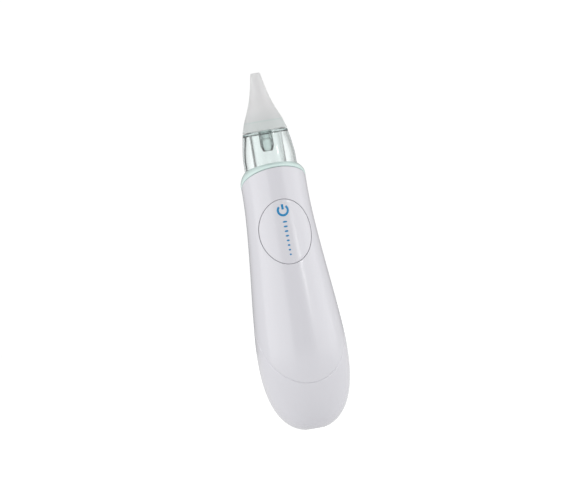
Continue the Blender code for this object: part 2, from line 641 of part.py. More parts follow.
def make_pump():
    floor_top = HOUSING_Z + 1.4
    bore = PUMP_RADIUS - PUMP_WALL
    outline = [(1.8, HOUSING_Z), (PUMP_RADIUS, HOUSING_Z), (PUMP_RADIUS, HOUSING_TOP_Z),
               (bore, HOUSING_TOP_Z), (bore, floor_top), (1.8, floor_top)]
    housing = turned("pump_housing", outline, "pump_blue", CUP_SIDES, PUMP_CENTRE)
    for side in (-1, 1):
        hole = disc(f"housing_hole_{side}", 1.1, HOUSING_Z - 1, floor_top + 1, "pump_blue", TINY_SIDES,
                    (side * MOTOR_SCREW_X, PUMP_Y))
        combine(housing, hole, "DIFFERENCE")
    add_ears(housing, HOUSING_TOP_Z - 6, HOUSING_TOP_Z, "pump_blue")

    low = DIAPHRAGM_Z
    diaphragm = disc("diaphragm", PUMP_RADIUS, low, low + 1, "pump_rubber", CUP_SIDES, PUMP_CENTRE)
    for index, place in enumerate(chamber_points()):
        chamber = disc(f"chamber_{index}", 2.6, low - 1.3, low + 0.5, "pump_rubber", TINY_SIDES, place)
        combine(diaphragm, chamber, "UNION")
        hollow = disc(f"chamber_hollow_{index}", 1.9, low - 0.7, low + 2, "pump_rubber", TINY_SIDES, place)
        combine(diaphragm, hollow, "DIFFERENCE")
    add_ears(diaphragm, DIAPHRAGM_Z, DIAPHRAGM_Z + 1, "pump_rubber")

    plate_top = VALVE_PLATE_Z + 1.4
    plate = disc("valve_plate", PUMP_RADIUS, VALVE_PLATE_Z, plate_top, "pump_blue", CUP_SIDES, PUMP_CENTRE)
    for index, place in enumerate(chamber_points()):
        port = disc(f"port_{index}", 0.8, VALVE_PLATE_Z - 1, plate_top + 1, "pump_blue", 6, place)
        combine(plate, port, "DIFFERENCE")
    add_ears(plate, VALVE_PLATE_Z, plate_top, "pump_blue")
    lobed("valve_flaps", HEAD_Z, HEAD_Z + 0.4, 0.8, 3.0, 7.4, math.radians(40), "pump_rubber", PUMP_CENTRE)

    recess = HEAD_Z + 1.9
    outline = [(bore, HEAD_Z), (PUMP_RADIUS, HEAD_Z), (PUMP_RADIUS, HEAD_TOP_Z), (0.0, HEAD_TOP_Z),
               (0.0, recess), (bore, recess)]
    head = turned("pump_head", outline, "pump_blue", CUP_SIDES, PUMP_CENTRE)
    rib_y = PUMP_Y + 1.0
    rib = block("head_rib", (-9.5, rib_y - 0.4, HEAD_Z + 0.8), (9.5, rib_y + 0.4, recess + 0.5), "pump_blue")
    combine(head, rib, "UNION")
    for name, y, top in (("inlet_barb", 0.0, HEAD_TOP_Z + 4.0), ("outlet_barb", OUTLET_Y, HEAD_TOP_Z + 2.5)):
        barb = disc(name, BARB_RADIUS, recess + 0.5, top, "pump_blue", TINY_SIDES, (0.0, y))
        combine(head, barb, "UNION")
        passage = disc(f"{name}_bore", BARB_BORE, HEAD_Z + 0.5, top + 1, "pump_blue", TINY_SIDES, (0.0, y))
        combine(head, passage, "DIFFERENCE")
    add_ears(head, HEAD_Z, HEAD_TOP_Z, "pump_blue")

    tube("suction_hose", HOSE_BORE, HOSE_RADIUS, HEAD_TOP_Z + GAP, SOCKET_FLOOR_Z - GAP, "hose_clear", 16)
    low = HEAD_TOP_Z + GAP
    outline = [(HOSE_BORE, low), (3.0, low), (3.0, low + 4.5), (0.0, low + 4.5), (0.0, low + 2.7),
               (HOSE_BORE, low + 2.7)]
    turned("exhaust_muffler", outline, "foam_grey", 16, (0.0, OUTLET_Y))


def make_crank_and_wobble_plate():
    """A tilted hole in the crank carries the plate's stem, so the plate nods round its centre."""
    crank = turned("pump_crank", [(SHAFT_RADIUS + GAP, CRANK_Z), (CRANK_RADIUS, CRANK_Z),
                                  (CRANK_RADIUS, CRANK_TOP_Z), (0.0, CRANK_TOP_Z), (0.0, SHAFT_TOP_Z + GAP),
                                  (SHAFT_RADIUS + GAP, SHAFT_TOP_Z + GAP)], "inner_plastic", SMALL_SIDES,
                   PUMP_CENTRE)
    tilt = Matrix.Rotation(WOBBLE_TILT, 4, "X")
    pivot = Matrix.Translation(Vector((0.0, PUMP_Y, WOBBLE_Z)) * MM)
    hole = disc("stem_hole", 1.2, -3.7, -1.0, "inner_plastic", TINY_SIDES)
    hole.matrix_world = pivot @ tilt
    combine(crank, hole, "DIFFERENCE")
    plate = lobed("wobble_plate", -0.6, 0.6, 0.0, 2.8, 7.6, math.radians(24), "inner_plastic", (0.0, 0.0))
    plate.matrix_world = pivot @ tilt
    stem = disc("wobble_stem", 0.9, -3.4, 0.0, "inner_plastic", TINY_SIDES)
    stem.matrix_world = pivot @ tilt
    combine(plate, stem, "UNION")


def screw(name, place, head, tip, radius, head_radius, head_height, material="steel"):
    """A screw along Z: its head's seat is at height head and its point at height tip."""
    outward = 1 if head > tip else -1
    outline = [(0.0, tip), (radius, tip + outward * 0.5), (radius, head), (head_radius, head),
               (head_radius, head + outward * head_height), (0.0, head + outward * head_height)]
    turned(name, outline, material, TINY_SIDES, place)


def make_screws():
    motor_seat = HOUSING_Z + 1.4 + GAP
    pump_seat = HEAD_TOP_Z + GAP
    frame_seat = TRAY_TOP_Z - TRAY_PLATE - GAP
    frame_x, frame_y = FRAME_SCREW
    for side, word in ((-1, "left"), (1, "right")):
        screw(f"motor_screw_{word}", (side * MOTOR_SCREW_X, PUMP_Y), motor_seat, 84.6, 0.8, 1.6, 0.9)
        screw(f"pump_screw_{word}", (side * EAR_X, PUMP_Y), pump_seat, 92.6, 0.6, 1.5, 1.0)
        screw(f"frame_screw_{word}", (side * frame_x, frame_y), frame_seat, 72.0, 1.1, 2.0, 1.1)


# ---------------------------------------------------------------- electronics

def make_board():
    front = BOARD_Y
    back = BOARD_Y + BOARD_THICKNESS
    low, top = BOARD_Z
    half = BOARD_HALF_WIDTH
    board = block("circuit_board", (-half, front, low), (half, back, top), "board_green")
    low, top = SPINE_Z
    spine = block("inner_frame", (-9.0, SPINE_Y[0], low), (9.0, SPINE_Y[1], top), "inner_plastic")
    foot = block("frame_foot", (-9.0, SPINE_Y[0], low), (9.0, -1.0, low + 1.2), "inner_plastic")
    combine(spine, foot, "UNION")
    for index, z in enumerate((72.0, 81.0)):
        cradle = block(f"cradle_{index}", (-10.4, SPINE_Y[1] - 0.3, z), (10.4, 0.0, z + 2.0), "inner_plastic")
        combine(spine, cradle, "UNION")
    seat = disc("motor_seat", MOTOR_RADIUS + GAP, 67.0, 86.0, "inner_plastic", CUP_SIDES, PUMP_CENTRE)
    combine(spine, seat, "DIFFERENCE")
    for index, (x, z) in enumerate(BOARD_SCREWS):
        for part in (board, spine):
            hole = rod_y(f"{part.name}_hole_{index}", x, z, 1.1, front - 1, SPINE_Y[1] + 1, "steel")
            combine(part, hole, "DIFFERENCE")
        body = rod_y(f"board_screw_{'lower' if index == 0 else 'upper'}", x, z, 0.8, front - GAP - 0.3,
                     SPINE_Y[1] - 0.1, "steel")
        head = rod_y(f"board_screw_head_{index}", x, z, 1.6, front - GAP - 0.8, front - GAP, "steel")
        combine(body, head, "UNION")

    z = BUTTON_Z
    switch = block("switch_body", (-SWITCH_HALF, front - 2.3, z - SWITCH_HALF),
                   (SWITCH_HALF, front - GAP, z + SWITCH_HALF), "part_black")
    combine(switch, rod_y("plunger_hole", 0.0, z, 1.8, front - 4, front - 0.55, "part_black"), "DIFFERENCE")
    rod_y("switch_plunger", 0.0, z, 1.5, front - 3.0, front - 1.3, "steel")
    block("driver_chip", (-2.0, front - 1.6, 88.5), (3.0, front - GAP, 92.5), "part_black")
    rod_y("board_capacitor", -4.6, 92.8, 2.0, front - 3.4, front - GAP, "steel", SMALL_SIDES)


def make_wires():
    step = 3.0
    for side, battery_word, motor_word in ((-1, "red", "black"), (1, "black", "red")):
        battery_route = ((*LEAD_HOLE, CONTACT_Z + CONTACT_THICKNESS + GAP), (*LEAD_HOLE, 66.0),
                         (9.9, -9.3, 70.5), (8.0, -9.8, 76.5), (5.5, -9.1, 83.4))
        motor_route = ((6.5, 3.0, 66.7), (8.6, 0.9, 66.2), (11.3, -4.2, 70.0), (11.5, -5.4, 79.0),
                       (11.0, -7.6, 86.0), (9.2, -9.1, 90.5))
        for lead, word, route in (("battery_lead", battery_word, battery_route),
                                  ("motor_lead", motor_word, motor_route)):
            guide = [Vector((side * x, y, z)) for x, y, z in route]
            bent_tube(f"{lead}_{word}", smooth_points(guide, step), WIRE_RADIUS, f"wire_{word}")


# ---------------------------------------------------------------- batteries

def make_tray():
    """Two half-round channels closed by end plates, with ears that screw to the handle."""
    half = 15.9
    floor_top = TRAY_Z + TRAY_PLATE
    plate_low = TRAY_TOP_Z - TRAY_PLATE
    tray = block("battery_tray", (-half, TRAY_FRONT_Y, TRAY_Z), (half, 0.0, TRAY_TOP_Z), "inner_plastic")
    top = block("tray_top", (-14.5, -1.0, plate_low), (14.5, TRAY_BACK_Y, TRAY_TOP_Z), "inner_plastic")
    combine(tray, top, "UNION")
    floor = block("tray_floor", (-13.0, -1.0, TRAY_Z), (13.0, TRAY_BACK_Y, floor_top), "inner_plastic")
    combine(tray, floor, "UNION")

    def post(name, radius, low, high, place, sides=TINY_SIDES):
        return disc(name, radius, low, high, "inner_plastic", sides, place)

    for side in (-1, 1):
        screw_place = (side * FRAME_SCREW[0], FRAME_SCREW[1])
        lead_place = (side * LEAD_HOLE[0], LEAD_HOLE[1])
        combine(tray, post(f"tray_ear_{side}", BOSS_RADIUS, plate_low, TRAY_TOP_Z, screw_place), "UNION")
        cell_place = (side * CELL_X, 0.0)
        channel = post(f"channel_{side}", CELL_RADIUS + GAP, floor_top, plate_low, cell_place, SMALL_SIDES)
        combine(tray, channel, "DIFFERENCE")
        access = post(f"access_{side}", BOSS_RADIUS + 0.4, TRAY_Z - 1, plate_low, screw_place)
        combine(tray, access, "DIFFERENCE")
        hole = post(f"ear_hole_{side}", 1.4, TRAY_TOP_Z - 3, TRAY_TOP_Z + 1, screw_place)
        combine(tray, hole, "DIFFERENCE")
        lead_hole = post(f"lead_hole_{side}", 1.0, TRAY_TOP_Z - 3, TRAY_TOP_Z + 1, lead_place)
        combine(tray, lead_hole, "DIFFERENCE")
    link_slot = block("link_slot", (-3.0, -4.4, floor_top - 0.1), (3.0, 1.0, LINK_Z + 1.0), "inner_plastic")
    combine(tray, link_slot, "DIFFERENCE")
    inside = climb(1.0, 80.0, 9, SHELL_WALL + 0.6)
    outline = [(0.0, inside[0][1])] + inside + [(0.0, inside[-1][1])]
    envelope = turned("tray_envelope", outline, "inner_plastic", CUP_SIDES)
    combine(tray, envelope, "INTERSECT")


def make_cells():
    """Two cells in series: the left one nub up, the right one nub down."""
    for side, word in ((-1, "left"), (1, "right")):
        if side < 0:
            foot = LINK_Z + CONTACT_THICKNESS + SPRING_HEIGHT + 2 * GAP
            end, direction = foot, 1
        else:
            end, direction = CONTACT_Z - 2 * GAP - SPRING_HEIGHT, -1
        levels = (end, end + direction * (CELL_LENGTH - NUB_LENGTH), end + direction * CELL_LENGTH)
        outline = [(0.0, levels[0]), (CELL_RADIUS, levels[0]), (CELL_RADIUS, levels[1]), (2.75, levels[1]),
                   (2.75, levels[2]), (0.0, levels[2])]
        turned(f"battery_cell_{word}", outline, "cell_green", SMALL_SIDES, (side * CELL_X, 0.0))


def make_contacts():
    reach = 3.6
    for side, word in ((-1, "plus"), (1, "minus")):
        low_x, high_x = sorted((side * (CELL_X - reach), side * (CELL_X + reach + 0.3)))
        block(f"contact_plate_{word}", (low_x, -4.9, CONTACT_Z), (high_x, 5.0, CONTACT_Z + CONTACT_THICKNESS),
              "steel")
    block("contact_link", (-CELL_X - reach, -4.0, LINK_Z), (CELL_X + reach, 4.0, LINK_Z + CONTACT_THICKNESS),
          "steel")
    wire = 0.25
    turns = 2
    per_turn = 10
    for name, side, low in (("contact_spring_lower", -1, LINK_Z + CONTACT_THICKNESS + GAP),
                            ("contact_spring_upper", 1, CONTACT_Z - GAP - SPRING_HEIGHT)):
        points = []
        for index in range(turns * per_turn + 1):
            share = index / (turns * per_turn)
            angle = 2 * math.pi * turns * share
            radius = 4.0 - 1.8 * share
            lift = wire + (SPRING_HEIGHT - 2 * wire) * share
            z = low + lift if side < 0 else low + SPRING_HEIGHT - lift
            points.append(Vector((side * CELL_X + radius * math.cos(angle), radius * math.sin(angle), z)))
        bent_tube(name, points, wire, "steel", 0)


def main():
    clear_scene()
    make_main_shell()
    make_battery_cover()
    make_collar()
    make_button()
    make_tip()
    make_cup()
    make_cup_base()
    make_splash_baffle()
    make_deck()
    make_motor()
    make_pump()
    make_crank_and_wobble_plate()
    make_screws()
    make_board()
    make_wires()
    make_tray()
    make_cells()
    make_contacts()


main()
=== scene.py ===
"""Looks of the battery nasal aspirator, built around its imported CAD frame.

The shells, collar, button, cup and tip are rebuilt here as fine meshes on the CAD's own outlines; the
pieces inside keep their CAD meshes and get procedural materials. Sizes are in millimetres until a mesh
is made, and the camera looks at the button from slightly left of it.
"""

import json
import math

import bmesh
import bpy
from mathutils import Matrix, Vector


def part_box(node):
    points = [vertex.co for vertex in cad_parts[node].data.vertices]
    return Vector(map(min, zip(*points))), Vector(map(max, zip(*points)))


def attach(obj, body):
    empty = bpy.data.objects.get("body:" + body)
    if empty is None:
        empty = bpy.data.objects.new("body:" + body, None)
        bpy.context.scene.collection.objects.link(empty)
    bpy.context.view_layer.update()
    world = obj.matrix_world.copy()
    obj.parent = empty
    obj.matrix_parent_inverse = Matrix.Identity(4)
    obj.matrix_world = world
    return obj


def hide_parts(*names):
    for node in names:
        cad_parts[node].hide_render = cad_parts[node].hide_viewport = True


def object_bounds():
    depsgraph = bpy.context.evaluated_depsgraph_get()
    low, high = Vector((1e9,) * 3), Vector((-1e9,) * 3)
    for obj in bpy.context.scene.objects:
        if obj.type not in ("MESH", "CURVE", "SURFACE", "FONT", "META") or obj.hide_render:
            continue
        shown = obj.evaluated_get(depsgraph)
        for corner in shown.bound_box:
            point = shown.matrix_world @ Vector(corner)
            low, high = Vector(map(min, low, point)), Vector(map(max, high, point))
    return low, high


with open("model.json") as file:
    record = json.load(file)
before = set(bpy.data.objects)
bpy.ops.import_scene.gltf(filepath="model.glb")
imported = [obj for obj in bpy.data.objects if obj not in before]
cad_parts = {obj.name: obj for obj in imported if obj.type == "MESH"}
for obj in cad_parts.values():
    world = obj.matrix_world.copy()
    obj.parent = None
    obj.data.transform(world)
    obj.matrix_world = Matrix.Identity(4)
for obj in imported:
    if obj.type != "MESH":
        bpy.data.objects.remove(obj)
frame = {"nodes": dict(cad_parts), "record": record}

cad_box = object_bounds()

MM = 0.001


def box_mm(node):
    """A CAD node's lowest and highest corners in millimetres."""
    low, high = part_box(node)
    return [value / MM for value in low], [value / MM for value in high]


# ---------------------------------------------------------------- driving dimensions, as in the CAD

BASE_FLAT_RADIUS = 5.0
BELLY_RADIUS = 22.7
BELLY_Z = 39.0
BASE_ROUNDNESS = 2.45
NECK_RADIUS = 16.4
NECK_Z = 120.0
NECK_HANDLE_Z = 96.0
BELLY_HANDLE_Z = 56.0
HANDLE_TOP_Z = 136.0
SHELL_WALL = 1.8

SEAM = (54.0, 1.43)             # height on the axis and rise per millimetre of y
COLLAR_LOW = (124.6, -0.45)
COLLAR_TOP = (131.5, -0.2)
SEAM_GAP = 0.06                 # visible width of the seam between shell and battery cover
COLLAR_GAP = 0.1
EDGE_ROUND = 0.3
COLLAR_RADIUS = 16.5
COLLAR_BORE = 13.5
SLEEVE_RADIUS = 14.3
LIP_RADIUS = 12.4

BUTTON_LOW, BUTTON_HIGH = box_mm("power_button")
BUTTON_Z = 99.3
BUTTON_HALF_WIDTH = (BUTTON_HIGH[0] - BUTTON_LOW[0]) / 2
BUTTON_HALF_HEIGHT = 16.2
BUTTON_GAP = 0.18
BUTTON_DEPTH = 3.0

CUP_LOW, CUP_HIGH = box_mm("collection_cup")
CUP_BOTTOM_Z = CUP_LOW[2]
CUP_NECK_Z = CUP_HIGH[2]
CUP_RADIUS = 13.2
CUP_WALL = 1.3
CUP_TOP_Z = 150.5
CUP_TOP_RADIUS = 11.3
CUP_NECK_RADIUS = 8.2
SKIRT_Z = 132.0
INLET_RADIUS = 3.4
INLET_BORE = 2.2
INLET_Z = 141.0
INLET_TAPER_Z = 143.6

TIP_LOW, TIP_HIGH = box_mm("nozzle_tip")
TIP_CHANNEL = 1.3

ROUND_SIDES = 128
SHARP_ANGLE = math.radians(40.0)
HALVINGS = 34                   # steps of each search for a position on the handle


# ---------------------------------------------------------------- materials

def new_material(name):
    """A node material, its nodes and links, and its Principled shader."""
    made = bpy.data.materials.new(name)
    made.use_nodes = True
    nodes = made.node_tree.nodes
    return made, nodes, made.node_tree.links, nodes["Principled BSDF"]


def noise(nodes, links, scale, detail=3.0):
    """A noise texture in object space, with scale in features per metre."""
    place = nodes.new("ShaderNodeTexCoord")
    texture = nodes.new("ShaderNodeTexNoise")
    texture.inputs["Scale"].default_value = scale
    texture.inputs["Detail"].default_value = detail
    links.new(place.outputs["Object"], texture.inputs["Vector"])
    return texture


def spread(nodes, links, source, low, high):
    """Map a 0 to 1 value to a range."""
    scaled = nodes.new("ShaderNodeMapRange")
    scaled.inputs["From Min"].default_value = 0.3
    scaled.inputs["From Max"].default_value = 0.7
    scaled.inputs["To Min"].default_value = low
    scaled.inputs["To Max"].default_value = high
    links.new(source, scaled.inputs["Value"])
    return scaled.outputs["Result"]


def tint(nodes, links, source, colour, strength):
    """A colour that varies slightly with a 0 to 1 value."""
    ramp = nodes.new("ShaderNodeValToRGB")
    ramp.color_ramp.elements[0].position = 0.3
    ramp.color_ramp.elements[1].position = 0.7
    ramp.color_ramp.elements[0].color = (*[value * (1 - strength) for value in colour], 1.0)
    ramp.color_ramp.elements[1].color = (*[min(value * (1 + strength), 1.0) for value in colour], 1.0)
    links.new(source, ramp.inputs["Fac"])
    return ramp.outputs["Color"]


def bump(nodes, links, shader, height, distance):
    """Raise the shader's surface by distance metres where height is 1."""
    made = nodes.new("ShaderNodeBump")
    made.inputs["Distance"].default_value = distance
    links.new(height, made.inputs["Height"])
    links.new(made.outputs["Normal"], shader.inputs["Normal"])


def moulded(name, colour, roughness, variation=0.03, grain=900.0, relief=0.00001, metallic=0.0, coat=0.0,
            uneven=0.15):
    """Moulded plastic, rubber or metal with faint cloudy colour, uneven gloss and a fine surface grain."""
    made, nodes, links, shader = new_material(name)
    cloud = noise(nodes, links, 60.0)
    links.new(tint(nodes, links, cloud.outputs["Fac"], colour, variation), shader.inputs["Base Color"])
    gloss = noise(nodes, links, 220.0, 4.0)
    links.new(spread(nodes, links, gloss.outputs["Fac"], roughness * (1 - uneven), roughness * (1 + uneven)),
              shader.inputs["Roughness"])
    texture = noise(nodes, links, grain, 2.0)
    bump(nodes, links, shader, texture.outputs["Fac"], relief)
    shader.inputs["Metallic"].default_value = metallic
    shader.inputs["Coat Weight"].default_value = coat
    shader.inputs["Coat Roughness"].default_value = 0.14
    return made


def clear_plastic(name, colour, absorbed, density, roughness=0.03, clarity=1.0):
    """Clear plastic whose tint deepens with the length of its path through the wall."""
    made, nodes, links, shader = new_material(name)
    shader.inputs["Base Color"].default_value = (*colour, 1.0)
    shader.inputs["Transmission Weight"].default_value = clarity
    shader.inputs["IOR"].default_value = 1.49
    flow = noise(nodes, links, 90.0, 2.0)
    links.new(spread(nodes, links, flow.outputs["Fac"], roughness * 0.6, roughness * 1.4),
              shader.inputs["Roughness"])
    depth = nodes.new("ShaderNodeVolumeAbsorption")
    depth.inputs["Color"].default_value = (*absorbed, 1.0)
    depth.inputs["Density"].default_value = density
    links.new(depth.outputs["Volume"], nodes["Material Output"].inputs["Volume"])
    return made


def silicone_with_painted_show_through(name):
    """Milky silicone with a fine frosted grain and painted light: below its neck a teal tint painted as the
    cup showing through, a darker band of painted shade at the neck, and lighter towards the top.
    """
    made, nodes, links, shader = new_material(name)
    cloud = noise(nodes, links, 120.0, 4.0)
    place = nodes.new("ShaderNodeTexCoord")
    split = nodes.new("ShaderNodeSeparateXYZ")
    links.new(place.outputs["Object"], split.inputs[0])
    height = nodes.new("ShaderNodeMapRange")
    height.inputs["From Min"].default_value = TIP_LOW[2] * MM
    height.inputs["From Max"].default_value = TIP_HIGH[2] * MM
    links.new(split.outputs["Z"], height.inputs["Value"])
    neck = (CUP_NECK_Z - TIP_LOW[2]) / (TIP_HIGH[2] - TIP_LOW[2])
    # Painted light: below the neck this colour stands for the teal cup seen through the silicone; above it
    # the colour grows lighter towards the top.
    ramp = nodes.new("ShaderNodeValToRGB")
    ramp.color_ramp.elements[0].position = neck - 0.012
    ramp.color_ramp.elements[0].color = (0.84, 0.885, 0.875, 1.0)
    ramp.color_ramp.elements[1].position = neck + 0.02
    ramp.color_ramp.elements[1].color = (0.86, 0.88, 0.88, 1.0)
    # Painted shade: a darker band along the neck line.
    edge = ramp.color_ramp.elements.new(neck)
    edge.color = (0.76, 0.85, 0.83, 1.0)
    clear = ramp.color_ramp.elements.new(neck + 0.25)
    clear.color = (0.95, 0.95, 0.955, 1.0)
    links.new(height.outputs["Result"], ramp.inputs["Fac"])
    # In a Mix node, inputs 6 and 7 and output 2 are the colours; the same names also fit the numbers.
    blend = nodes.new("ShaderNodeMix")
    blend.data_type = "RGBA"
    blend.blend_type = "MULTIPLY"
    blend.inputs[0].default_value = 1.0
    links.new(ramp.outputs["Color"], blend.inputs[6])
    links.new(tint(nodes, links, cloud.outputs["Fac"], (0.98, 0.98, 0.98), 0.02), blend.inputs[7])
    links.new(blend.outputs[2], shader.inputs["Base Color"])
    links.new(spread(nodes, links, cloud.outputs["Fac"], 0.38, 0.5), shader.inputs["Roughness"])
    shader.inputs["Transmission Weight"].default_value = 0.25
    shader.inputs["IOR"].default_value = 1.41
    shader.inputs["Subsurface Weight"].default_value = 0.5
    shader.inputs["Subsurface Radius"].default_value = (1.0, 1.0, 1.0)
    shader.inputs["Subsurface Scale"].default_value = 0.002
    grain = noise(nodes, links, 2500.0, 2.0)
    bump(nodes, links, shader, grain.outputs["Fac"], 0.00001)
    return made


SHELL = moulded("shell_gloss_white", (0.76, 0.755, 0.80), 0.25, 0.004, 700.0, 0.000002, coat=0.6, uneven=0.04)
MINT = moulded("collar_gloss_mint", (0.72, 0.885, 0.85), 0.22, 0.01, 700.0, 0.000002, coat=0.5, uneven=0.05)
BLUE_PRINT = moulded("print_blue", (0.02, 0.25, 0.52), 0.35, 0.05)
SILICONE = silicone_with_painted_show_through("tip_silicone_painted_show_through")
TEAL = (0.15, 0.6, 0.56)
INLET_FROSTED = clear_plastic("inlet_tube_plastic", (0.97, 1.0, 0.99), TEAL, 40.0, 0.15)
CUP_CLEAR = clear_plastic("cup_plastic", (0.99, 1.0, 0.998), TEAL, 30.0)
BASE_CLEAR = clear_plastic("cup_base_plastic", (0.97, 1.0, 0.99), (0.3, 0.8, 0.72), 30.0, 0.08)

SLOT_MATERIALS = {
    "cup_base_clear": BASE_CLEAR,
    "cup_clear": CUP_CLEAR,
    "silicone_frosted": SILICONE,
    "collar_mint": MINT,
    "shell_white": SHELL,
    "seal_rubber": moulded("seal_silicone", (0.72, 0.74, 0.74), 0.5, 0.03),
    "inner_plastic": moulded("inner_abs", (0.55, 0.56, 0.58), 0.45, 0.04, 1500.0, 0.00002),
    "board_green": moulded("solder_mask", (0.03, 0.20, 0.09), 0.35, 0.12, 1200.0, 0.00002, coat=0.4),
    "part_black": moulded("component_black", (0.02, 0.02, 0.022), 0.45, 0.2, 2500.0, 0.00002),
    "steel": moulded("zinc_plated_steel", (0.62, 0.62, 0.63), 0.28, 0.06, 1800.0, 0.00002, metallic=1.0),
    "copper": moulded("enamelled_copper", (0.70, 0.33, 0.16), 0.3, 0.12, 2500.0, 0.00004, metallic=1.0),
    "magnet_grey": moulded("ferrite", (0.07, 0.07, 0.075), 0.65, 0.15, 2500.0, 0.00004),
    "pump_blue": moulded("pump_nylon", (0.10, 0.22, 0.38), 0.45, 0.05, 1500.0, 0.00002),
    "pump_rubber": moulded("black_rubber", (0.035, 0.035, 0.035), 0.7, 0.1, 2000.0, 0.00003),
    "cell_green": moulded("cell_sleeve", (0.06, 0.28, 0.14), 0.3, 0.06, 1500.0, metallic=0.2, coat=0.3),
    "hose_clear": moulded("hose_silicone", (0.78, 0.79, 0.76), 0.35, 0.03),
    "wire_red": moulded("wire_pvc_red", (0.55, 0.02, 0.02), 0.4, 0.05),
    "wire_black": moulded("wire_pvc_black", (0.015, 0.015, 0.015), 0.4, 0.1),
    "foam_grey": moulded("open_cell_foam", (0.25, 0.25, 0.26), 0.95, 0.3, 1800.0, 0.0002),
}


# ---------------------------------------------------------------- mesh building

class Sheet:
    """Collects points in millimetres and the quads between rings of them."""

    def __init__(self):
        self.points = []
        self.faces = []

    def ring(self, points):
        """Add a row of points and return their numbers."""
        start = len(self.points)
        self.points.extend(points)
        return list(range(start, start + len(points)))

    def strip(self, first, second, closed=True):
        """Quads between two rings; a ring of one point makes a fan."""
        count = max(len(first), len(second))
        for index in range(count if closed else count - 1):
            following = (index + 1) % count
            corners = [first[index % len(first)], first[following % len(first)],
                       second[following % len(second)], second[index % len(second)]]
            corners = list(dict.fromkeys(corners))
            self.faces.append(corners)

    def make(self, name, material, body, slot, replaced=()):
        """Turn the sheet into a smooth object in metres that rides on a body and may replace CAD nodes."""
        mesh = bpy.data.meshes.new(name)
        mesh.from_pydata([Vector(point) * MM for point in self.points], [], self.faces)
        tidy = bmesh.new()
        tidy.from_mesh(mesh)
        bmesh.ops.recalc_face_normals(tidy, faces=tidy.faces)
        tidy.to_mesh(mesh)
        tidy.free()
        mesh.shade_smooth()
        mesh.set_sharp_from_angle(angle=SHARP_ANGLE)
        mesh.materials.append(material)
        made = bpy.data.objects.new(name, mesh)
        bpy.context.collection.objects.link(made)
        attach(made, body)
        if replaced:
            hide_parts(*replaced)
        return made


def turned(outline, sides=ROUND_SIDES):
    """A sheet of revolution from a closed outline of (radius, z) points."""
    sheet = Sheet()
    rings = []
    for radius, z in outline:
        if radius == 0.0:
            rings.append(sheet.ring([(0.0, 0.0, z)]))
            continue
        ring = []
        for index in range(sides):
            angle = 2 * math.pi * index / sides
            ring.append((radius * math.sin(angle), -radius * math.cos(angle), z))
        rings.append(sheet.ring(ring))
    for first, second in zip(rings, rings[1:] + rings[:1]):
        if len(first) > 1 or len(second) > 1:
            sheet.strip(first, second)
    return sheet


def arc(centre, radius, start, stop, count=6):
    """Points round an arc, with angles in degrees from +radius towards +z."""
    points = []
    for index in range(count):
        angle = math.radians(start + (stop - start) * index / (count - 1))
        points.append((centre[0] + radius * math.cos(angle), centre[1] + radius * math.sin(angle)))
    return points


def bezier(corners, count=12):
    """Points along a quadratic or cubic Bezier curve, without its last point."""
    points = []
    degree = len(corners) - 1
    for index in range(count):
        t = index / count
        total = Vector((0.0, 0.0))
        for place, corner in enumerate(corners):
            total += Vector(corner) * (math.comb(degree, place) * (1 - t) ** (degree - place) * t ** place)
        points.append((total.x, total.y))
    return points


def through(points, count=5):
    """Points along a Catmull-Rom curve through the given points, ends included."""
    guide = [Vector(point) for point in points]
    ends = [2 * guide[0] - guide[1]] + guide + [2 * guide[-1] - guide[-2]]
    made = []
    for before, start, stop, after in zip(ends, ends[1:], ends[2:], ends[3:]):
        for index in range(count):
            t = index / count
            made.append(tuple(0.5 * (2 * start + (stop - before) * t
                                     + (2 * before - 5 * start + 4 * stop - after) * t ** 2
                                     + (3 * start - before - 3 * stop + after) * t ** 3)))
    return made + [tuple(guide[-1])]


# ---------------------------------------------------------------- the handle's outside

BASE_HEIGHT = BELLY_Z / (1 - (BASE_FLAT_RADIUS / BELLY_RADIUS) ** BASE_ROUNDNESS) ** (1 / BASE_ROUNDNESS)
FLAT_ANGLE = math.acos((BASE_FLAT_RADIUS / BELLY_RADIUS) ** (BASE_ROUNDNESS / 2))


def body_point(position):
    """(radius, z) on the handle's outside: 0 to 1 climbs the base, 1 to 2 the taper, 2 to 3 the neck."""
    if position <= 1.0:
        angle = FLAT_ANGLE * (1 - position)
        return (BELLY_RADIUS * math.cos(angle) ** (2 / BASE_ROUNDNESS),
                BELLY_Z - BASE_HEIGHT * math.sin(angle) ** (2 / BASE_ROUNDNESS))
    if position <= 2.0:
        t = position - 1.0
        early = (1 - t) ** 3
        spread_share = 3 * (1 - t) ** 2 * t
        late = 3 * (1 - t) * t ** 2
        return (BELLY_RADIUS * (early + spread_share) + NECK_RADIUS * (late + t ** 3),
                BELLY_Z * early + BELLY_HANDLE_Z * spread_share + NECK_HANDLE_Z * late + NECK_Z * t ** 3)
    return NECK_RADIUS, NECK_Z + (HANDLE_TOP_Z - NECK_Z) * (position - 2.0)


def inset_point(position, depth):
    """The same point moved straight into the wall by depth."""
    step = 0.002
    before = body_point(max(position - step, 0.0))
    after = body_point(min(position + step, 3.0))
    along = Vector((after[0] - before[0], after[1] - before[1])).normalized()
    radius, z = body_point(position)
    return radius - along.y * depth, z + along.x * depth


def on_body(angle, position, depth=0.0):
    """A point of the handle, with angle 0 at the front and turning towards +X."""
    radius, z = inset_point(position, depth)
    return radius * math.sin(angle), -radius * math.cos(angle), z


def solve(reaches):
    """The position on the handle's outside where reaches(position) turns from negative to positive."""
    low = 0.05
    high = 3.0
    for _ in range(HALVINGS):
        middle = (low + high) / 2
        if reaches(middle) < 0:
            low = middle
        else:
            high = middle
    return (low + high) / 2


def position_on_plane(angle, plane, shift, depth):
    """Where a column of the handle meets a slanted plane moved along its normal by shift."""
    height, slope = plane
    lift = shift * math.hypot(1.0, slope)

    def reaches(position):
        radius, z = inset_point(position, depth)
        return z - (height + slope * -radius * math.cos(angle) + lift)

    return solve(reaches)


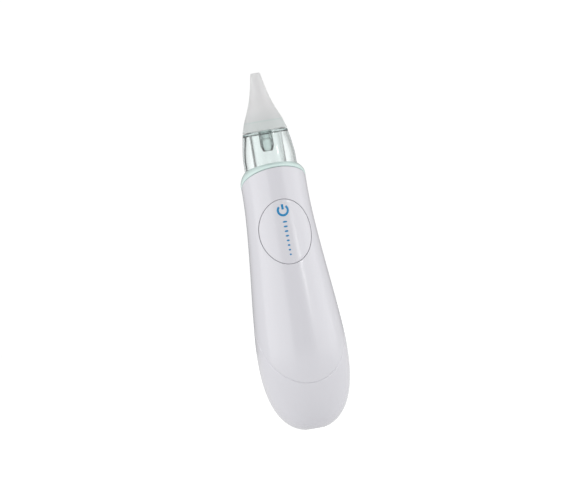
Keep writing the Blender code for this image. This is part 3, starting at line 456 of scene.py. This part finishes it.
def edge_ring(plane, shift, depth):
    """Points round the handle where it meets a shifted slanted plane, depth inside its outside."""
    return [on_body(angle, position_on_plane(angle, plane, shift, depth), depth) for angle in SHELL_ANGLES]


def front_place(x, z, depth):
    """(angle, position) of the point of the handle in front of (x, z)."""
    position = solve(lambda value: inset_point(value, depth)[1] - z)
    radius = inset_point(position, depth)[0]
    return math.asin(max(-1.0, min(1.0, x / radius))), position


def rounded_edge(radius=EDGE_ROUND, steps=4):
    """(setback from the edge, depth) pairs round an edge, from the outside inwards."""
    pairs = []
    for index in range(steps + 1):
        angle = math.radians(90 * index / steps)
        pairs.append((radius * (1 - math.sin(angle)), radius * (1 - math.cos(angle))))
    return pairs


def angles(count=ROUND_SIDES):
    """Equal steps round a full turn."""
    return [2 * math.pi * index / count for index in range(count)]


class Opening:
    """A hole through the shell: an outline in x and z about a centre, seen along Y.

    It lies inside a window of the shell's grid, window_angle and window_z to either side of its centre.
    """

    def __init__(self, turn, z, half_width, half_height, power, window_angle, window_z):
        self.turn = turn                    # 0 on the front, pi on the back
        self.z = z
        self.half_width = half_width
        self.half_height = half_height
        self.power = power                  # 1 for an ellipse, under 1 for a squarer slot
        self.window_angle = window_angle
        self.window_z = window_z

    def edge(self, phase, setback):
        """(x, z) on the outline, enlarged by setback."""
        def shaped(value):
            return math.copysign(abs(value) ** self.power, value)
        x = (self.half_width + setback) * shaped(math.cos(phase))
        return x, self.z + (self.half_height + setback) * shaped(math.sin(phase))

    def place(self, phase, setback, depth):
        """(angle, position) on the handle of a point of the outline."""
        x, z = self.edge(phase, setback)
        angle, position = front_place(x, z, depth)
        return angle + self.turn, position

    def phase_of(self, angle, z):
        """Which point of the outline a point of the window's border runs to."""
        across = (angle - self.turn) / self.window_angle
        up = (z - self.z) / self.window_z
        return math.atan2(up, across)


def fill_window(sheet, grid, places, opening, depth, setback, rings=9):
    """Replace a window of grid cells with rings that run in to an opening; returns the innermost ring."""
    columns = [index for index, (angle, _) in enumerate(places[0])
               if abs(angle - opening.turn) <= opening.window_angle]
    middle_column = min(columns, key=lambda index: abs(places[0][index][0] - opening.turn))
    heights = [inset_point(row[middle_column][1], depth)[1] for row in places]
    rows = [index for index, z in enumerate(heights) if abs(z - opening.z) <= opening.window_z]
    low_row, high_row, left, right = rows[0], rows[-1], columns[0], columns[-1]
    border = [(low_row, column) for column in range(left, right)]
    border += [(row, right) for row in range(low_row, high_row)]
    border += [(high_row, column) for column in range(right, left, -1)]
    border += [(row, left) for row in range(high_row, low_row, -1)]
    border_places = [places[row][column] for row, column in border]
    phases = [opening.phase_of(angle, inset_point(position, depth)[1]) for angle, position in border_places]
    hole_places = [opening.place(phase, setback, depth) for phase in phases]
    outer = [grid[row][column] for row, column in border]
    for index in range(1, rings + 1):
        share = (index / rings) ** 0.8
        points = []
        for start, stop in zip(border_places, hole_places):
            angle = start[0] + (stop[0] - start[0]) * share
            position = start[1] + (stop[1] - start[1]) * share
            points.append(on_body(angle, position, depth))
        inner = sheet.ring(points)
        sheet.strip(outer, inner)
        outer = inner
    return (low_row, high_row, left, right), outer, phases


def grid_faces(sheet, grid, windows):
    """Quads between neighbouring rows of columns, leaving out the windows."""
    count = len(grid[0])
    for row in range(len(grid) - 1):
        for column in range(count):
            if any(low <= row < high and left <= column < right for low, high, left, right in windows):
                continue
            following = (column + 1) % count
            sheet.faces.append([grid[row][column], grid[row][following], grid[row + 1][following],
                                grid[row + 1][column]])


# Columns start at the left side, so that neither the button's nor the vents' window crosses their end.
SHELL_ANGLES = [angle - math.pi / 2 for angle in angles()]
SHELL_ROWS = 72
BUTTON_OPENING = Opening(0.0, BUTTON_Z, BUTTON_HALF_WIDTH + BUTTON_GAP, BUTTON_HALF_HEIGHT + BUTTON_GAP, 1.0,
                         math.radians(68), 20.0)
VENTS = [Opening(math.pi, 101.6 + 3.0 * index, 4.5, 0.6, 0.55, math.radians(24), 1.35) for index in range(3)]


def make_main_shell():
    """The handle's upper shell, between its two slanted edges, with the button's hole and three vents."""
    sheet = Sheet()
    sides = []
    for depth in (0.0, SHELL_WALL):
        setback = EDGE_ROUND if depth == 0.0 else 0.0
        places = []
        columns = []
        for angle in SHELL_ANGLES:
            low = position_on_plane(angle, SEAM, SEAM_GAP / 2 + setback, depth)
            high = position_on_plane(angle, COLLAR_LOW, -COLLAR_GAP - setback, depth)
            columns.append([(angle, low + (high - low) * row / SHELL_ROWS) for row in range(SHELL_ROWS + 1)])
        for row in range(SHELL_ROWS + 1):
            places.append([column[row] for column in columns])
        grid = [sheet.ring([on_body(angle, position, depth) for angle, position in row]) for row in places]
        windows = []
        holes = []
        for opening in [BUTTON_OPENING] + VENTS:
            rings = 10 if opening is BUTTON_OPENING else 4
            window, hole, phases = fill_window(sheet, grid, places, opening, depth, setback, rings)
            windows.append(window)
            holes.append((hole, phases))
        grid_faces(sheet, grid, windows)
        sides.append((grid, holes))
    (outer_grid, outer_holes), (inner_grid, inner_holes) = sides

    for edge, plane, direction, gap in ((0, SEAM, 1, SEAM_GAP / 2), (-1, COLLAR_LOW, -1, COLLAR_GAP)):
        last = outer_grid[edge]
        for setback, depth in rounded_edge()[1:]:
            ring = sheet.ring(edge_ring(plane, direction * (gap + setback), depth))
            sheet.strip(last, ring)
            last = ring
        sheet.strip(last, inner_grid[edge])

    for opening, (outer, phases), (inner, _) in zip([BUTTON_OPENING] + VENTS, outer_holes, inner_holes):
        last = outer
        for setback, depth in rounded_edge()[1:]:
            ring = sheet.ring([on_body(*opening.place(phase, setback, depth), depth) for phase in phases])
            sheet.strip(last, ring)
            last = ring
        sheet.strip(last, inner)
    sheet.make("handle_shell", SHELL, "handle", "shell_white", ("main_shell",))


def make_battery_cover():
    """The cup-shaped cover that closes the handle below the slanted seam, with its small flat base."""
    sheet = Sheet()
    rows = 56
    outer = [sheet.ring([(0.0, 0.0, 0.0)])]
    for radius in (1.8, 3.4, 4.7):
        outer.append(sheet.ring([(radius * math.sin(a), -radius * math.cos(a), 0.0) for a in SHELL_ANGLES]))
    inner = []
    for depth, rings, setback in ((0.0, outer, EDGE_ROUND), (SHELL_WALL, inner, 0.0)):
        tops = [position_on_plane(angle, SEAM, -SEAM_GAP / 2 - setback, depth) for angle in SHELL_ANGLES]
        for row in range(rows + 1):
            rings.append(sheet.ring([on_body(angle, top * row / rows, depth)
                                     for angle, top in zip(SHELL_ANGLES, tops)]))
    for first, second in zip(outer, outer[1:]):
        sheet.strip(first, second)
    for first, second in zip(inner, inner[1:]):
        sheet.strip(first, second)
    floor = sheet.ring([(0.0, 0.0, inset_point(0.0, SHELL_WALL)[1])])
    sheet.strip(floor, inner[0])
    last = outer[-1]
    for setback, depth in rounded_edge()[1:]:
        ring = sheet.ring(edge_ring(SEAM, -SEAM_GAP / 2 - setback, depth))
        sheet.strip(last, ring)
        last = ring
    sheet.strip(last, inner[-1])
    sheet.make("rear_battery_cover", SHELL, "cover", "shell_white", ("battery_cover",))


def make_collar():
    """The mint shoulder ring between its two slanted edges, with its sleeve and lip."""
    def height(plane, radius, angle):
        return plane[0] - plane[1] * radius * math.cos(angle)

    profile = bezier([(COLLAR_RADIUS, 0.0), (COLLAR_RADIUS + 0.35, 0.44), (COLLAR_BORE + 0.25, 0.97)], 16)
    profile += [(COLLAR_BORE + 0.25, 0.97), (COLLAR_BORE + 0.08, 0.99), (COLLAR_BORE, 0.96)]
    lip_low, lip_top = 116.5, 117.6
    sheet = Sheet()
    rings = []
    under = EDGE_ROUND

    def shoulder(radius, share, lift=0.0):
        points = []
        for angle in SHELL_ANGLES:
            low = height(COLLAR_LOW, COLLAR_RADIUS, angle) + under
            top = height(COLLAR_TOP, COLLAR_BORE, angle)
            points.append((radius * math.sin(angle), -radius * math.cos(angle),
                           low + share * (top - low) + lift))
        return sheet.ring(points)

    for setback, depth in reversed(rounded_edge()[1:]):
        rings.append(shoulder(COLLAR_RADIUS - depth, 0.0, setback - under))
    rings += [shoulder(radius, share) for radius, share in profile]
    for radius, z in ((COLLAR_BORE, lip_top), (LIP_RADIUS, lip_top), (LIP_RADIUS, lip_low),
                      (SLEEVE_RADIUS, lip_low)):
        rings.append(sheet.ring([(radius * math.sin(a), -radius * math.cos(a), z) for a in SHELL_ANGLES]))
    rings.append(sheet.ring([(SLEEVE_RADIUS * math.sin(a), -SLEEVE_RADIUS * math.cos(a),
                              height(COLLAR_LOW, SLEEVE_RADIUS, a)) for a in SHELL_ANGLES]))
    for first, second in zip(rings, rings[1:] + rings[:1]):
        sheet.strip(first, second)
    sheet.make("mint_collar", MINT, "handle", "collar_mint", ("collar_ring",))


def button_point(x, z, depth):
    """A point of the button's face, moved into the button by depth along Y."""
    angle, position = front_place(x, z, 0.0)
    place = on_body(angle, position)
    return place[0], place[1] + depth, place[2]


def make_button():
    """The oval button, flush with the handle and rounded at its edges."""
    sheet = Sheet()
    phases = angles(96)
    softened = 0.3               # rounding of the back edge

    def ring(setback, depth, share=1.0):
        points = []
        for phase in phases:
            x = (BUTTON_HALF_WIDTH - setback) * share * math.cos(phase)
            z = BUTTON_Z + (BUTTON_HALF_HEIGHT - setback) * share * math.sin(phase)
            points.append(button_point(x, z, depth))
        return sheet.ring(points)

    shares = [index / 12 for index in range(1, 13)]
    rings = [sheet.ring([button_point(0.0, BUTTON_Z, 0.0)])]
    rings += [ring(EDGE_ROUND, 0.0, share) for share in shares]
    rings += [ring(setback, depth) for setback, depth in rounded_edge()[1:]]
    rings += [ring(0.0, BUTTON_DEPTH - softened), ring(softened, BUTTON_DEPTH)]
    rings += [ring(softened, BUTTON_DEPTH, share) for share in reversed(shares[:-1:2])]
    rings.append(sheet.ring([button_point(0.0, BUTTON_Z, BUTTON_DEPTH)]))
    for first, second in zip(rings, rings[1:]):
        sheet.strip(first, second)
    sheet.make("oval_power_button", SHELL, "button", "shell_white", ("power_button",))


PRINT_RISE = 0.03                # how far the printed marks stand off the button
PRINT_SINK = 0.1


def printed(name, outer, inner, closed):
    """A thin raised print: a band between an outer and an inner row of (x, z) points, open or closed."""
    sheet = Sheet()
    rows = []
    sides = ((outer, PRINT_SINK), (outer, -PRINT_RISE), (inner, -PRINT_RISE), (inner, PRINT_SINK))
    for points, depth in sides:
        rows.append(sheet.ring([button_point(x, z, depth) for x, z in points]))
    for first, second in zip(rows, rows[1:] + rows[:1]):
        sheet.strip(first, second, closed)
    if not closed:
        for end in (0, -1):
            sheet.faces.append([row[end] for row in rows])
    sheet.make(name, BLUE_PRINT, "button", "shell_white")


def make_power_symbol():
    """A plain power symbol in blue: an open ring with a bar, over a column of short dashes."""
    centre_z = 110.0
    radius = 2.5
    half_line = 0.56
    bar_foot = 0.4               # where the bar starts above the ring's centre
    steps = 40
    opening = math.radians(42)
    outer = []
    inner = []
    for index in range(steps + 1):
        angle = math.pi / 2 + opening + (2 * math.pi - 2 * opening) * index / steps
        for points, size in ((outer, radius + half_line), (inner, radius - half_line)):
            points.append((size * math.cos(angle), centre_z + size * math.sin(angle)))
    printed("print_power_ring", outer, inner, False)
    bar = [(-half_line, centre_z + bar_foot), (-half_line, centre_z + radius + half_line)]
    printed("print_power_bar", bar, [(-x, z) for x, z in bar], False)
    dashes, top_z, pitch = 8, 104.2, 2.35
    half_width, half_height, narrowing = 1.15, 0.45, 0.09
    speck = 0.02                 # the middle of a dash, as a share of its outline
    for index in range(dashes):
        z = top_z - pitch * index
        reach = half_width - narrowing * index
        edge = [(reach * math.cos(angle), z + half_height * math.sin(angle)) for angle in angles(16)]
        middle = [(x * speck, z + (height - z) * speck) for x, height in edge]
        printed(f"print_dash_{index + 1}", edge, middle, True)


# ---------------------------------------------------------------- cup and tip

def make_tip():
    """Soft tip: a hollow flared cone with a rounded lip, open over the cup's neck."""
    low = TIP_LOW[2]
    top = TIP_HIGH[2]
    socket = CUP_NECK_RADIUS + 0.3
    outside = through([(11.3, low + 0.25), (10.95, 152.0), (10.5, 153.3), (9.62, 156.0), (8.35, 159.0),
                       (7.1, 162.0), (5.95, 165.0), (4.98, 168.0), (4.22, 171.0), (3.55, 174.0),
                       (2.97, 177.0), (2.62, top - 0.9)])
    lip = through([(2.62, top - 0.9), (2.48, top - 0.35), (2.05, top), (1.6, top - 0.05),
                   (TIP_CHANNEL, top - 0.5)], 3)[1:]
    inside = through([(TIP_CHANNEL, 169.0), (2.2, 166.6), (4.3, 162.5), (7.0, CUP_NECK_Z + 1.2)], 4)
    outline = outside + lip + inside + [(socket, CUP_NECK_Z + 0.3), (socket, low), (11.05, low)]
    turned(outline, 96).make("silicone_tip", SILICONE, "tip", "silicone_frosted", ("nozzle_tip",))


def make_cup():
    """Clear cup: curved wall, rounded rim, neck, hanging inlet tube and splash skirt."""
    plate = 1.2                  # thickness of the top and of the neck's roof
    straight_z = 136.0           # the wall is straight up to here
    neck_bore = CUP_NECK_RADIUS - 1.0
    bore = CUP_RADIUS - CUP_WALL
    wall_out = bezier([(CUP_RADIUS, straight_z), (CUP_RADIUS, 140.4),
                       (CUP_TOP_RADIUS + 0.05, CUP_TOP_Z - 0.9)], 14)
    wall_in = bezier([(9.9, CUP_TOP_Z - plate - 0.8), (bore, 140.6), (bore, straight_z)], 14)
    rim = arc((CUP_TOP_RADIUS - 0.35, CUP_TOP_Z - 0.4), 0.4, -10, 90)
    outline = [(bore, CUP_BOTTOM_Z + 0.3), (bore + 0.3, CUP_BOTTOM_Z), (CUP_RADIUS - 0.3, CUP_BOTTOM_Z),
               (CUP_RADIUS, CUP_BOTTOM_Z + 0.3)]
    outline += wall_out + rim
    outline += [(CUP_NECK_RADIUS + 0.3, CUP_TOP_Z), (CUP_NECK_RADIUS, CUP_TOP_Z + 0.3)]
    outline += arc((CUP_NECK_RADIUS - 0.4, CUP_NECK_Z - 0.4), 0.4, 0, 90)
    outline += [(INLET_RADIUS, CUP_NECK_Z), (INLET_RADIUS, CUP_NECK_Z - plate),
                (neck_bore - 0.4, CUP_NECK_Z - plate), (neck_bore, CUP_NECK_Z - plate - 0.4),
                (neck_bore, SKIRT_Z + 0.3)]
    outline += arc(((neck_bore + CUP_NECK_RADIUS) / 2, SKIRT_Z + 0.5), 0.5, 180, 360, 7)
    outline += [(CUP_NECK_RADIUS, CUP_TOP_Z - plate - 0.4), (CUP_NECK_RADIUS + 0.4, CUP_TOP_Z - plate)]
    outline += arc((9.3, CUP_TOP_Z - plate - 0.6), 0.6, 90, 0, 5) + wall_in
    turned(outline, 96).make("clear_cup", CUP_CLEAR, "cup", "cup_clear", ("collection_cup",))
    tube = INLET_RADIUS - 0.02   # just clear of the roof's hole
    outline = [(INLET_BORE, INLET_Z + 0.1)]
    outline += arc((INLET_BORE + 0.15, INLET_Z + 0.1), 0.15, 180, 330, 5)[1:]
    outline += [(tube, INLET_TAPER_Z), (tube, CUP_NECK_Z), (INLET_BORE + 0.3, CUP_NECK_Z),
                (INLET_BORE, CUP_NECK_Z - 0.3)]
    turned(outline, 64).make("inlet_tube", INLET_FROSTED, "cup", "cup_clear")


def make_cup_base():
    """Floor plug, flange, spigot and standpipe of the cup, with softened edges."""
    low, high = box_mm("cup_base")
    edge = 0.3                   # softening of the edges
    pipe = 3.2                   # outer radius of the spigot and the standpipe
    flange_low = 119.9
    flange_top = CUP_BOTTOM_Z - edge
    plug = 11.6
    groove = plug - 1.3
    groove_low, groove_top = 122.8, 124.4
    plug_top = 125.5
    outline = [(2.0, low[2]), (pipe - 0.2, low[2]), (pipe, low[2] + edge), (pipe, flange_low),
               (CUP_RADIUS - edge, flange_low), (CUP_RADIUS, flange_low + edge),
               (CUP_RADIUS, flange_top - edge), (CUP_RADIUS - edge, flange_top), (plug, flange_top),
               (plug, groove_low), (groove, groove_low), (groove, groove_top), (plug, groove_top),
               (plug, plug_top - edge), (plug - edge, plug_top)]
    dish = [(plug - edge, plug_top), (8.5, 125.1), (5.0, 124.9), (3.5, 125.4), (pipe, 126.4)]
    outline += through(dish, 4)[1:]
    outline += [(pipe, high[2] - edge)] + arc((pipe - 0.6, high[2] - 0.6), 0.6, 0, 180, 7)
    turned(outline, 72).make("cup_floor", BASE_CLEAR, "cup_bottom", "cup_base_clear", ("cup_base",))


def dress_cad_nodes():
    """Give every CAD node that stays its procedural material."""
    slots = {entry["node"]: entry["material_slot"] for entry in frame["record"]["subparts"]}
    for name, node in frame["nodes"].items():
        for index in range(len(node.data.materials)):
            node.data.materials[index] = SLOT_MATERIALS[slots[name]]


# ---------------------------------------------------------------- stage, light and camera

FILL_SIDES = 0.8                 # fill light from the sides, and from in front and behind
FILL_FRONT = 0.24
FLOOR_LIGHT = 0.6
FLOOR_WHITE = 0.97


def choose(nodes, links, chooser, otherwise, chosen):
    """chosen where chooser is 1, otherwise where it is 0; each is a number or an output."""
    mix = nodes.new("ShaderNodeMix")
    links.new(chooser, mix.inputs["Factor"])
    for socket, value in ((mix.inputs["A"], otherwise), (mix.inputs["B"], chosen)):
        if isinstance(value, float):
            socket.default_value = value
        else:
            links.new(value, socket)
    return mix.outputs["Result"]


def make_floor():
    """A plain pale floor, nearly shadowless, seen through from below."""
    half = 6.0
    corners = [(-half, -half, 0), (half, -half, 0), (half, half, 0), (-half, half, 0)]
    mesh = bpy.data.meshes.new("floor")
    mesh.from_pydata(corners, [], [(0, 1, 2, 3)])
    floor = bpy.data.objects.new("floor", mesh)
    bpy.context.collection.objects.link(floor)
    made = bpy.data.materials.new("floor_pale")
    made.use_nodes = True
    nodes = made.node_tree.nodes
    links = made.node_tree.links
    nodes.clear()
    output = nodes.new("ShaderNodeOutputMaterial")
    glow = nodes.new("ShaderNodeEmission")
    glow.inputs["Color"].default_value = (1.0, 1.0, 1.0, 1.0)
    path = nodes.new("ShaderNodeLightPath")
    level = choose(nodes, links, path.outputs["Is Camera Ray"], FLOOR_LIGHT, FLOOR_WHITE)
    links.new(level, glow.inputs["Strength"])
    matt = nodes.new("ShaderNodeBsdfDiffuse")
    matt.inputs["Color"].default_value = (0.2, 0.2, 0.2, 1.0)
    lit = nodes.new("ShaderNodeAddShader")
    clear = nodes.new("ShaderNodeBsdfTransparent")
    side = nodes.new("ShaderNodeNewGeometry")
    mix = nodes.new("ShaderNodeMixShader")
    links.new(glow.outputs[0], lit.inputs[0])
    links.new(matt.outputs[0], lit.inputs[1])
    links.new(side.outputs["Backfacing"], mix.inputs[0])
    links.new(lit.outputs[0], mix.inputs[1])
    links.new(clear.outputs[0], mix.inputs[2])
    links.new(mix.outputs[0], output.inputs["Surface"])
    mesh.materials.append(made)


BACKDROP_WHITE = 1.02
# What the clear cup shows of the studio: x of a direction, and the level of light that way.
CLEAR_VIEW = ((-0.95, 1.0), (-0.65, 0.06), (-0.42, 0.1), (-0.22, 1.0),
              (0.26, 1.0), (0.6, 0.4), (0.95, 1.0))


def banded(nodes, links, component, limits, levels):
    """A level that changes with how far a direction leans either way along one axis."""
    size = nodes.new("ShaderNodeMath")
    size.operation = "ABSOLUTE"
    links.new(component, size.inputs[0])
    scaled = nodes.new("ShaderNodeMapRange")
    scaled.inputs["From Min"].default_value = limits[0]
    scaled.inputs["From Max"].default_value = limits[1]
    scaled.inputs["To Min"].default_value = levels[0]
    scaled.inputs["To Max"].default_value = levels[1]
    links.new(size.outputs[0], scaled.inputs["Value"])
    return scaled.outputs["Result"]


def make_world():
    """White backdrop, a softer fill light, and dark studio sides that only the clear cup shows."""
    world = bpy.data.worlds.new("studio")
    bpy.context.scene.world = world
    world.use_nodes = True
    nodes = world.node_tree.nodes
    links = world.node_tree.links
    place = nodes.new("ShaderNodeTexCoord")
    split = nodes.new("ShaderNodeSeparateXYZ")
    links.new(place.outputs["Generated"], split.inputs[0])
    along = nodes.new("ShaderNodeMapRange")
    along.inputs["From Min"].default_value = -1.0
    links.new(split.outputs["X"], along.inputs["Value"])
    ramp = nodes.new("ShaderNodeValToRGB")
    stops = ramp.color_ramp.elements
    while len(stops) < len(CLEAR_VIEW):
        stops.new(0.5)
    for stop, (x, light) in zip(stops, CLEAR_VIEW):
        stop.position = (x + 1) / 2
        stop.color = (light, light, light, 1.0)
    links.new(along.outputs["Result"], ramp.inputs["Fac"])
    sides = ramp.outputs["Color"]
    fill = banded(nodes, links, split.outputs["Y"], (0.3, 0.95), (FILL_SIDES, FILL_FRONT))
    path = nodes.new("ShaderNodeLightPath")
    level = choose(nodes, links, path.outputs["Is Transmission Ray"], fill, sides)
    level = choose(nodes, links, path.outputs["Is Camera Ray"], level, BACKDROP_WHITE)
    links.new(level, nodes["Background"].inputs["Strength"])
    nodes["Background"].inputs["Color"].default_value = (1.0, 1.0, 1.0, 1.0)


def add_softbox(name, azimuth, elevation, distance, width, height, power):
    """A rectangular light aimed at the middle of the handle."""
    target = Vector((0.0, 0.0, 0.09))
    turn = math.radians(azimuth)
    rise = math.radians(elevation)
    away = Vector((math.sin(turn) * math.cos(rise), -math.cos(turn) * math.cos(rise), math.sin(rise)))
    data = bpy.data.lights.new(name, "AREA")
    data.shape = "RECTANGLE"
    data.size = width
    data.size_y = height
    data.energy = power
    light = bpy.data.objects.new(name, data)
    light.location = target + away * distance
    light.rotation_euler = (-away).to_track_quat("-Z", "Y").to_euler()
    light.visible_transmission = False
    bpy.context.collection.objects.link(light)


def make_lights():
    """Broad panels on both sides, a gap in front that leaves the darker band, and a narrow streak."""
    add_softbox("panel_left", -62, 10, 0.9, 1.35, 0.9, 3.9)
    add_softbox("panel_right", 63, 10, 0.9, 1.2, 0.9, 2.95)
    add_softbox("streak_right", 36, 15, 0.9, 0.09, 0.12, 0.42)


CAMERA_AZIMUTH = math.radians(-8.0)
CAMERA_LEAN = math.radians(9.6)      # the aspirator's lean to the left in the picture
CAMERA_DISTANCE = 3.0
PICTURE_WIDTH = 0.290                # metres across the picture at the aspirator
AIM_RIGHT = 0.0025
AIM_UP = 0.0011


def make_camera():
    """A long lens level with the handle's middle, rolled so that the aspirator leans to the left."""
    away = Vector((math.sin(CAMERA_AZIMUTH), -math.cos(CAMERA_AZIMUTH), 0.0))
    turn = (-away).to_track_quat("-Z", "Y").to_matrix().to_4x4()
    turn = turn @ Matrix.Rotation(-CAMERA_LEAN, 4, "Z")
    right = turn.col[0].to_3d()
    up = turn.col[1].to_3d()
    middle = Vector((0.0, 0.0, (cad_box[0][2] + cad_box[1][2]) / 2))
    data = bpy.data.cameras.new("camera")
    data.sensor_width = 36.0
    data.lens = data.sensor_width * CAMERA_DISTANCE / PICTURE_WIDTH
    camera = bpy.data.objects.new("camera", data)
    camera.matrix_world = Matrix.Translation(middle + right * AIM_RIGHT + up * AIM_UP
                                             + away * CAMERA_DISTANCE) @ turn
    bpy.context.collection.objects.link(camera)
    bpy.context.scene.camera = camera


make_main_shell()
make_battery_cover()
make_collar()
make_button()
make_power_symbol()
make_tip()
make_cup()
make_cup_base()
dress_cad_nodes()
make_floor()
make_world()
make_lights()
make_camera()
bpy.context.scene.view_settings.view_transform = "Standard"
